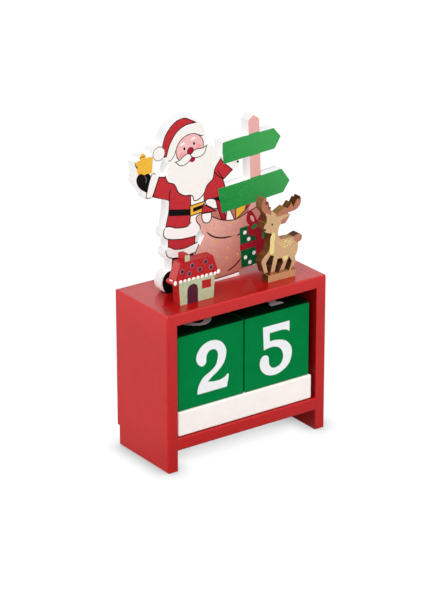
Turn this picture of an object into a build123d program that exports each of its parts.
"""Wooden block calendar: a cabinet on two side feet, with loose date blocks and month bars.

Three fret-cut boards stand on its top.

Millimetres, +Z up, +Y to the back. The origin is on the resting plane, at the middle of the cabinet.
"""

import os

from build123d import *

os.makedirs("parts", exist_ok=True)

# Loose blocks and bars
block_size = 41.4
block_edge_radius = 0.8
block_left_play = 1.5
block_spacing = 0.9
block_right_play = 3.2
block_recess = 1.8
block_back_play = 1.3
bar_size = 13.5
bar_edge_radius = 0.9
bar_count = 3
bar_left_play = 1.2
bar_right_play = 1.9
bar_recess = 1.0
bar_spacing = 0.25
rest_gap = 0.2
finger_gap = 6.7

# Boards of the cabinet
side_thickness = 6.2
top_thickness = 6.7
shelf_thickness = 7.0
back_thickness = 2.5
foot_height = 11.2
edge_radius = 0.9

# Brads, panel pins and dowels
brad_diameter = 1.2
brad_length = 16.0
brad_cover = 1.0
brad_spacing = 28.0
pin_diameter = 1.2
pin_length = 14.0
pin_head_diameter = 2.6
pin_head_thickness = 0.7
pin_spacing = 28.0
pin_columns = 3
dowel_diameter = 3.0
dowel_in_cutout = 2.4
dowel_in_top = 5.0
glue_gap = 0.05

# Cut-out boards on the top
figure_width = 96.6
figure_height = 92.4
figure_thickness = 6.2
figure_overhang = 1.0
figure_setback = 25.75
house_thickness = 6.0
house_setback = 8.45
house_center_share = -0.258
house_wall_height = 12.7
house_wall_top_width = 22.2
house_wall_base_width = 20.6
house_roof_height = 10.2
house_roof_top_width = 20.1
house_eave_width = 27.0
house_eave_bead_radius = 1.3
house_chimney_width = 2.9
house_chimney_height = 3.6
house_chimney_inset = 2.75
reindeer_width = 26.0
reindeer_height = 46.9
reindeer_thickness = 5.0
reindeer_setback = 8.15
reindeer_left_share = 0.1409

# Cabinet sizes that follow from the blocks, the bars and the boards
inner_width = block_left_play + 2 * block_size + block_spacing + block_right_play
cabinet_width = inner_width + 2 * side_thickness
bar_length = inner_width - bar_left_play - bar_right_play
bar_stack_depth = bar_recess + bar_count * (bar_size + bar_spacing)
frame_depth = max(block_recess + block_size + block_back_play, bar_stack_depth)
cabinet_depth = frame_depth + back_thickness
shelf_top = foot_height + shelf_thickness
bar_bottom = shelf_top + rest_gap
block_bottom = bar_bottom + bar_size + rest_gap
opening_top = block_bottom + block_size + finger_gap
cabinet_height = opening_top + top_thickness
front_y = -cabinet_depth / 2
frame_back_y = front_y + frame_depth
rear_y = cabinet_depth / 2
outer_x = cabinet_width / 2
inner_x = inner_width / 2
frame_middle_y = front_y + frame_depth / 2
top_middle_z = cabinet_height - top_thickness / 2
shelf_middle_z = foot_height + shelf_thickness / 2

# Fastener holes
brad_hole_radius = brad_diameter / 2 + glue_gap
brad_in_side = side_thickness - brad_cover
brad_in_board = brad_length - brad_in_side
pin_hole_radius = pin_diameter / 2 + glue_gap
pin_head_hole_radius = pin_head_diameter / 2 + glue_gap
pin_in_board = pin_length - back_thickness
dowel_hole_radius = dowel_diameter / 2 + glue_gap

# Places of the cut-out boards
figure_left = -outer_x - figure_overhang
figure_front_y = front_y + figure_setback
figure_middle_y = figure_front_y + figure_thickness / 2
house_x = house_center_share * cabinet_width
house_front_y = front_y + house_setback
house_middle_y = house_front_y + house_thickness / 2
reindeer_left = reindeer_left_share * cabinet_width
reindeer_front_y = front_y + reindeer_setback
reindeer_middle_y = reindeer_front_y + reindeer_thickness / 2

# Figure board: shares of its width and height, from its lower left corner.
# Round parts are (centre, radii), bands are (centre, length and height).
figure_round_shares = [
    ((0.310, 0.855), (0.139, 0.145)),  # hat
    ((0.369, 0.698), (0.169, 0.146)),  # beard
    ((0.150, 0.827), (0.046, 0.048)),  # bobble of the hat
    ((0.050, 0.826), (0.020, 0.021)),  # clapper of the hand bell
    ((0.0435, 0.699), (0.041, 0.044)),  # knuckles of the raised mitten
    ((0.632, 0.672), (0.030, 0.032)),  # cuff of the pointing arm
    ((0.411, 0.397), (0.031, 0.032)),  # gathered corner of the sack
]
figure_band_shares = [
    ((0.291, 0.356), (0.247, 0.078)),  # fur hem of the coat
    ((0.2945, 0.235), (0.223, 0.076)),  # fur of the trousers
    ((0.261, 0.066), (0.206, 0.132)),  # boots
]
bell_shares = [(0.015, 0.718), (0.0, 0.806), (0.113, 0.825), (0.108, 0.718)]
raised_mitten_shares = [(0.008, 0.681), (0.056, 0.608), (0.100, 0.600), (0.1025, 0.737), (0.0145, 0.737)]
raised_cuff_shares = [(0.062, 0.585), (0.083, 0.712), (0.112, 0.735), (0.143, 0.697), (0.105, 0.582)]
raised_sleeve_shares = [(0.105, 0.586), (0.143, 0.697), (0.240, 0.697), (0.240, 0.534)]
coat_shares = [
    (0.206, 0.715),
    (0.206, 0.487),
    (0.186, 0.385),
    (0.430, 0.365),
    (0.532, 0.450),
    (0.577, 0.552),
    (0.563, 0.587),
    (0.630, 0.638),
    (0.595, 0.714),
    (0.532, 0.736),
]
trousers_shares = [(0.201, 0.20), (0.201, 0.35), (0.381, 0.35), (0.381, 0.20)]
boot_leg_shares = [(0.224, 0.06), (0.224, 0.24), (0.390, 0.215), (0.380, 0.06)]
sack_neck_shares = (0.424, 0.307)
sack_crease_shares = (0.437, 0.288)
sack_waist_shares = (0.383, 0.193)
sack_belly_shares = (0.358, 0.115)
sack_foot_shares = (0.445, 0.026)
sack_base_shares = (0.700, 0.032)
sack_rim_shares = [(0.843, 0.260), (0.831, 0.430), (0.560, 0.470), (0.500, 0.470), (0.383, 0.395)]
parcel_shares = [(0.682, 0.036), (0.670, 0.280), (0.862, 0.292), (0.862, 0.044)]
foot_strip_shares = [(0.30, 0.0), (0.30, 0.12), (0.40, 0.12), (0.46, 0.05), (0.6655, 0.05), (0.6655, 0.0)]
post_shares = [(0.744, 0.42), (0.7235, 0.901), (0.757, 0.928), (0.793, 0.901), (0.8135, 0.42)]
upper_sign_shares = [(0.5475, 0.810), (0.891, 0.825), (0.9375, 0.768), (0.8975, 0.7035), (0.565, 0.682)]
lower_sign_shares = [(0.527, 0.543), (0.945, 0.575), (1.0, 0.496), (0.9565, 0.433), (0.5495, 0.397)]
figure_polygon_shares = [
    bell_shares,
    raised_mitten_shares,
    raised_cuff_shares,
    raised_sleeve_shares,
    coat_shares,
    trousers_shares,
    boot_leg_shares,
    parcel_shares,
    foot_strip_shares,
    post_shares,
    upper_sign_shares,
    lower_sign_shares,
]
figure_dowel_shares = [0.261, 0.545]

# Reindeer: shares of its width and height, from its lower left corner.
reindeer_base_shares = [(0.79, 0.08), (0.85, 0.08), (0.85, 0.0), (0.17, 0.0), (0.17, 0.08), (0.215, 0.08)]
reindeer_foreleg_shares = [
    (0.215, 0.08),
    (0.31, 0.30),
    (0.22, 0.32),
    (0.11, 0.235),
    (0.16, 0.125),
    (0.075, 0.125),
    (0.0, 0.255),
]
reindeer_chest_shares = [(0.0, 0.255), (0.10, 0.33), (0.195, 0.38), (0.215, 0.47), (0.265, 0.565)]
reindeer_jaw_shares = [(0.265, 0.565), (0.14, 0.59)]
reindeer_nose_shares = [(0.14, 0.59), (0.07, 0.62), (0.125, 0.705)]
reindeer_brow_shares = [(0.125, 0.705), (0.13, 0.77), (0.09, 0.82)]
reindeer_left_antler_shares = [(0.09, 0.82), (0.002, 0.93), (0.08, 1.0)]
reindeer_left_teeth_shares = [
    (0.08, 1.0),
    (0.125, 0.99),
    (0.115, 0.957),
    (0.078, 0.912),
    (0.172, 0.944),
    (0.186, 0.902),
    (0.150, 0.866),
    (0.231, 0.876),
    (0.214, 0.850),
    (0.37, 0.777),
]
reindeer_right_teeth_shares = [
    (0.37, 0.777),
    (0.584, 0.837),
    (0.645, 0.816),
    (0.736, 0.874),
    (0.777, 0.818),
    (0.879, 0.907),
    (0.928, 0.886),
    (0.951, 0.922),
]
reindeer_right_antler_shares = [(0.951, 0.922), (0.960, 0.85), (0.81, 0.776)]
reindeer_ear_shares = [(0.81, 0.776), (0.64, 0.766), (0.708, 0.738), (0.585, 0.65), (0.465, 0.65)]
reindeer_neck_shares = [(0.465, 0.65), (0.41, 0.54), (0.47, 0.475)]
reindeer_back_shares = [(0.47, 0.475), (0.77, 0.465), (0.91, 0.49)]
reindeer_tail_shares = [(0.91, 0.49), (1.0, 0.43), (0.90, 0.395)]
reindeer_rump_shares = [(0.90, 0.395), (0.90, 0.31), (0.835, 0.235)]
reindeer_hindleg_shares = [(0.835, 0.235), (0.85, 0.165), (0.79, 0.08)]
reindeer_line_shares = [
    reindeer_base_shares,
    reindeer_foreleg_shares,
    reindeer_jaw_shares,
    reindeer_brow_shares,
    reindeer_left_teeth_shares,
    reindeer_right_teeth_shares,
    reindeer_ear_shares,
    reindeer_back_shares,
    reindeer_hindleg_shares,
]
reindeer_arc_shares = [
    reindeer_nose_shares,
    reindeer_left_antler_shares,
    reindeer_right_antler_shares,
    reindeer_neck_shares,
    reindeer_tail_shares,
    reindeer_rump_shares,
]
reindeer_gap_shares = [
    [(0.31, 0.08), (0.40, 0.255), (0.505, 0.255), (0.54, 0.20), (0.425, 0.08)],
    [(0.535, 0.08), (0.655, 0.225), (0.685, 0.25), (0.76, 0.185), (0.69, 0.08)],
]
reindeer_dowel_share = 0.5


def figure_point(shares):
    return (figure_left + shares[0] * figure_width, cabinet_height + shares[1] * figure_height)


def reindeer_point(shares):
    return (reindeer_left + shares[0] * reindeer_width, cabinet_height + shares[1] * reindeer_height)


def write_piece(piece, name):
    piece.part.label = name
    export_step(piece.part, f"parts/{name}.step")


# Each dowel stands on the middle plane of the board that it holds.
dowel_places = [(figure_left + share * figure_width, figure_middle_y) for share in figure_dowel_shares]
dowel_places.append((house_x, house_middle_y))
dowel_places.append((reindeer_left + reindeer_dowel_share * reindeer_width, reindeer_middle_y))

# Brads enter each end of the top and the shelf, two to an end.
brad_places = [
    (frame_middle_y + side * brad_spacing / 2, z) for side in (-1, 1) for z in (shelf_middle_z, top_middle_z)
]
pin_places = [
    ((column - (pin_columns - 1) / 2) * pin_spacing, z)
    for column in range(pin_columns)
    for z in (shelf_middle_z, top_middle_z)
]

# Side boards: full height, their lower ends are the feet. Only the outer edges are rounded.
with BuildPart() as left_side_panel:
    with BuildSketch(Plane.XY) as side_section:
        with Locations((-outer_x, front_y)):
            Rectangle(side_thickness, frame_depth, align=(Align.MIN, Align.MIN))
    extrude(amount=cabinet_height)
    outer_edges = left_side_panel.faces().sort_by(Axis.X)[0].edges()
    front_top_edge = left_side_panel.faces().sort_by(Axis.Z)[-1].edges().sort_by(Axis.Y)[0]
    fillet(outer_edges.sort_by(Axis.Y)[:-1] + [front_top_edge], radius=edge_radius)
    with BuildSketch(Plane.YZ.offset(-inner_x)) as brad_holes:
        with Locations(*brad_places):
            Circle(brad_hole_radius)
    extrude(amount=-brad_in_side - glue_gap, mode=Mode.SUBTRACT)

with BuildPart() as right_side_panel:
    mirror(left_side_panel.part, about=Plane.YZ)

# Top board: between the sides, flush with their upper ends.
with BuildPart() as top_board:
    with BuildSketch(Plane.XY.offset(opening_top)) as top_section:
        with Locations((-inner_x, front_y)):
            Rectangle(inner_width, frame_depth, align=(Align.MIN, Align.MIN))
    extrude(amount=top_thickness)
    fillet(top_board.faces().sort_by(Axis.Y)[0].edges().filter_by(Axis.X), radius=edge_radius)
    with BuildSketch(Plane.XY.offset(cabinet_height)) as dowel_holes:
        with Locations(*dowel_places):
            Circle(dowel_hole_radius)
    extrude(amount=-dowel_in_top - glue_gap, mode=Mode.SUBTRACT)
    for end, inward in ((-inner_x, 1), (inner_x, -1)):
        with BuildSketch(Plane.YZ.offset(end)) as brad_holes:
            with Locations(*[place for place in brad_places if place[1] == top_middle_z]):
                Circle(brad_hole_radius)
        extrude(amount=inward * (brad_in_board + glue_gap), mode=Mode.SUBTRACT)
    with BuildSketch(Plane.XZ.offset(-frame_back_y)) as pin_holes:
        with Locations(*[place for place in pin_places if place[1] == top_middle_z]):
            Circle(pin_hole_radius)
    extrude(amount=pin_in_board + glue_gap, mode=Mode.SUBTRACT)

# Shelf: carries the bars, and its underside is level with the back panel's lower edge.
with BuildPart() as shelf_board:
    with BuildSketch(Plane.XY.offset(foot_height)) as shelf_section:
        with Locations((-inner_x, front_y)):
            Rectangle(inner_width, frame_depth, align=(Align.MIN, Align.MIN))
    extrude(amount=shelf_thickness)
    fillet(shelf_board.faces().sort_by(Axis.Y)[0].edges().filter_by(Axis.X), radius=edge_radius)
    for end, inward in ((-inner_x, 1), (inner_x, -1)):
        with BuildSketch(Plane.YZ.offset(end)) as brad_holes:
            with Locations(*[place for place in brad_places if place[1] == shelf_middle_z]):
                Circle(brad_hole_radius)
        extrude(amount=inward * (brad_in_board + glue_gap), mode=Mode.SUBTRACT)
    with BuildSketch(Plane.XZ.offset(-frame_back_y)) as pin_holes:
        with Locations(*[place for place in pin_places if place[1] == shelf_middle_z]):
            Circle(pin_hole_radius)
    extrude(amount=pin_in_board + glue_gap, mode=Mode.SUBTRACT)

# Back panel: a thin board on the back of the frame, with sunk holes for the pin heads.
with BuildPart() as back_panel:
    with BuildSketch(Plane.XZ.offset(-rear_y)) as panel_outline:
        with Locations((-outer_x, foot_height)):
            Rectangle(cabinet_width, cabinet_height - foot_height, align=(Align.MIN, Align.MIN))
    extrude(amount=back_thickness)
    fillet(back_panel.faces().sort_by(Axis.Y)[-1].edges(), radius=edge_radius)
    with BuildSketch(Plane.XZ.offset(-rear_y)) as pin_holes:
        with Locations(*pin_places):
            Circle(pin_hole_radius)
    extrude(amount=back_thickness, mode=Mode.SUBTRACT)
    with BuildSketch(Plane.XZ.offset(-rear_y)) as pin_head_holes:
        with Locations(*pin_places):
            Circle(pin_head_hole_radius)
    extrude(amount=pin_head_thickness + glue_gap, mode=Mode.SUBTRACT)

# Headless brads, driven through the sides from outside and filled over.
with BuildPart() as carcass_brads:
    with BuildSketch(Plane.YZ.offset(-outer_x + brad_cover)) as brad_section:
        with Locations(*brad_places):
            Circle(brad_diameter / 2)
    extrude(amount=brad_length)
    chamfer(
        carcass_brads.edges().filter_by(GeomType.CIRCLE).group_by(Axis.X)[-1],
        length=brad_diameter,
        length2=brad_diameter / 3,
    )
    mirror(about=Plane.YZ)

with BuildPart() as back_panel_pins:
    with BuildSketch(Plane.XZ.offset(-rear_y)) as pin_heads:
        with Locations(*pin_places):
            Circle(pin_head_diameter / 2)
    extrude(amount=pin_head_thickness)
    with BuildSketch(Plane.XZ.offset(-rear_y)) as pin_shanks:
        with Locations(*pin_places):
            Circle(pin_diameter / 2)
    extrude(amount=pin_length)

with BuildPart() as cutout_dowels:
    with BuildSketch(Plane.XY.offset(cabinet_height - dowel_in_top)) as dowel_section:
        with Locations(*dowel_places):
            Circle(dowel_diameter / 2)
    extrude(amount=dowel_in_top + dowel_in_cutout)

# Fret-cut board: the overlapping outlines of its motifs, so that the windows between them are cut through.
with BuildPart() as figure_board:
    with BuildSketch(Plane.XZ.offset(-figure_front_y)) as figure_outline:
        for center_shares, radii_shares in figure_round_shares:
            with Locations(figure_point(center_shares)):
                Ellipse(radii_shares[0] * figure_width, radii_shares[1] * figure_height)
        for center_shares, size_shares in figure_band_shares:
            with Locations(figure_point(center_shares)):
                SlotOverall(size_shares[0] * figure_width, size_shares[1] * figure_height)
        for shares in figure_polygon_shares:
            Polygon(*[figure_point(point) for point in shares], align=None)
        with BuildLine() as sack_outline:
            ThreePointArc(
                figure_point(sack_waist_shares),
                figure_point(sack_belly_shares),
                figure_point(sack_foot_shares),
            )
            Polyline(
                figure_point(sack_foot_shares),
                figure_point(sack_base_shares),
                *[figure_point(point) for point in sack_rim_shares],
                figure_point(sack_neck_shares),
                figure_point(sack_crease_shares),
                figure_point(sack_waist_shares),
            )
        make_face()
    extrude(amount=-figure_thickness)
    with BuildSketch(Plane.XY.offset(cabinet_height)) as dowel_holes:
        with Locations(*[place for place in dowel_places if place[1] == figure_middle_y]):
            Circle(dowel_hole_radius)
    extrude(amount=dowel_in_cutout + glue_gap, mode=Mode.SUBTRACT)

# House: walls that narrow to the ground, an overhanging roof with round eave ends and a chimney.
with BuildPart() as house:
    eave_z = cabinet_height + house_wall_height
    ridge_z = eave_z + house_roof_height
    with BuildSketch(Plane.XZ.offset(-house_front_y)) as house_outline:
        Polygon(
            (house_x - house_wall_base_width / 2, cabinet_height),
            (house_x - house_wall_top_width / 2, eave_z),
            (house_x + house_wall_top_width / 2, eave_z),
            (house_x + house_wall_base_width / 2, cabinet_height),
            align=None,
        )
        Polygon(
            (house_x - house_eave_width / 2, eave_z),
            (house_x - house_roof_top_width / 2, ridge_z),
            (house_x + house_roof_top_width / 2, ridge_z),
            (house_x + house_eave_width / 2, eave_z),
            align=None,
        )
        with Locations((house_x - house_eave_width / 2, eave_z), (house_x + house_eave_width / 2, eave_z)):
            Circle(house_eave_bead_radius)
        with Locations((house_x - house_roof_top_width / 2 + house_chimney_inset, eave_z)):
            Rectangle(
                house_chimney_width,
                house_roof_height + house_chimney_height,
                align=(Align.MIN, Align.MIN),
            )
    extrude(amount=-house_thickness)
    with BuildSketch(Plane.XY.offset(cabinet_height)) as dowel_holes:
        with Locations((house_x, house_middle_y)):
            Circle(dowel_hole_radius)
    extrude(amount=dowel_in_cutout + glue_gap, mode=Mode.SUBTRACT)

# Reindeer: one closed outline with toothed antlers and a lifted foreleg, and two gaps between the legs.
with BuildPart() as reindeer:
    with BuildSketch(Plane.XZ.offset(-reindeer_front_y)) as reindeer_outline:
        with BuildLine() as reindeer_contour:
            for shares in reindeer_line_shares:
                Polyline(*[reindeer_point(point) for point in shares])
            for shares in reindeer_arc_shares:
                ThreePointArc(*[reindeer_point(point) for point in shares])
            Spline(*[reindeer_point(point) for point in reindeer_chest_shares])
        make_face()
        for shares in reindeer_gap_shares:
            Polygon(*[reindeer_point(point) for point in shares], align=None, mode=Mode.SUBTRACT)
    extrude(amount=-reindeer_thickness)
    with BuildSketch(Plane.XY.offset(cabinet_height)) as dowel_holes:
        with Locations(*[place for place in dowel_places if place[1] == reindeer_middle_y]):
            Circle(dowel_hole_radius)
    extrude(amount=dowel_in_cutout + glue_gap, mode=Mode.SUBTRACT)


def build_block(left_x):
    with BuildPart() as block:
        with BuildSketch(Plane.XY.offset(block_bottom)) as block_section:
            with Locations((left_x, front_y + block_recess)):
                Rectangle(block_size, block_size, align=(Align.MIN, Align.MIN))
        extrude(amount=block_size)
        fillet(block.edges(), radius=block_edge_radius)
    return block


def build_bar(row):
    with BuildPart() as bar:
        with BuildSketch(Plane.XY.offset(bar_bottom)) as bar_section:
            with Locations((-inner_x + bar_left_play, front_y + bar_recess + row * (bar_size + bar_spacing))):
                Rectangle(bar_length, bar_size, align=(Align.MIN, Align.MIN))
        extrude(amount=bar_size)
        fillet(bar.edges(), radius=bar_edge_radius)
    return bar


date_block_left = build_block(-inner_x + block_left_play)
date_block_right = build_block(-inner_x + block_left_play + block_size + block_spacing)
month_bars = [build_bar(row) for row in range(bar_count)]

write_piece(left_side_panel, "left_side_panel")
write_piece(right_side_panel, "right_side_panel")
write_piece(top_board, "top_board")
write_piece(shelf_board, "shelf_board")
write_piece(back_panel, "back_panel")
write_piece(carcass_brads, "carcass_brads")
write_piece(back_panel_pins, "back_panel_pins")
write_piece(cutout_dowels, "cutout_dowels")
write_piece(figure_board, "figure_board")
write_piece(house, "house")
write_piece(reindeer, "reindeer")
write_piece(date_block_left, "date_block_left")
write_piece(date_block_right, "date_block_right")
for bar, name in zip(month_bars, ("month_bar_front", "month_bar_middle", "month_bar_rear")):
    write_piece(bar, name)
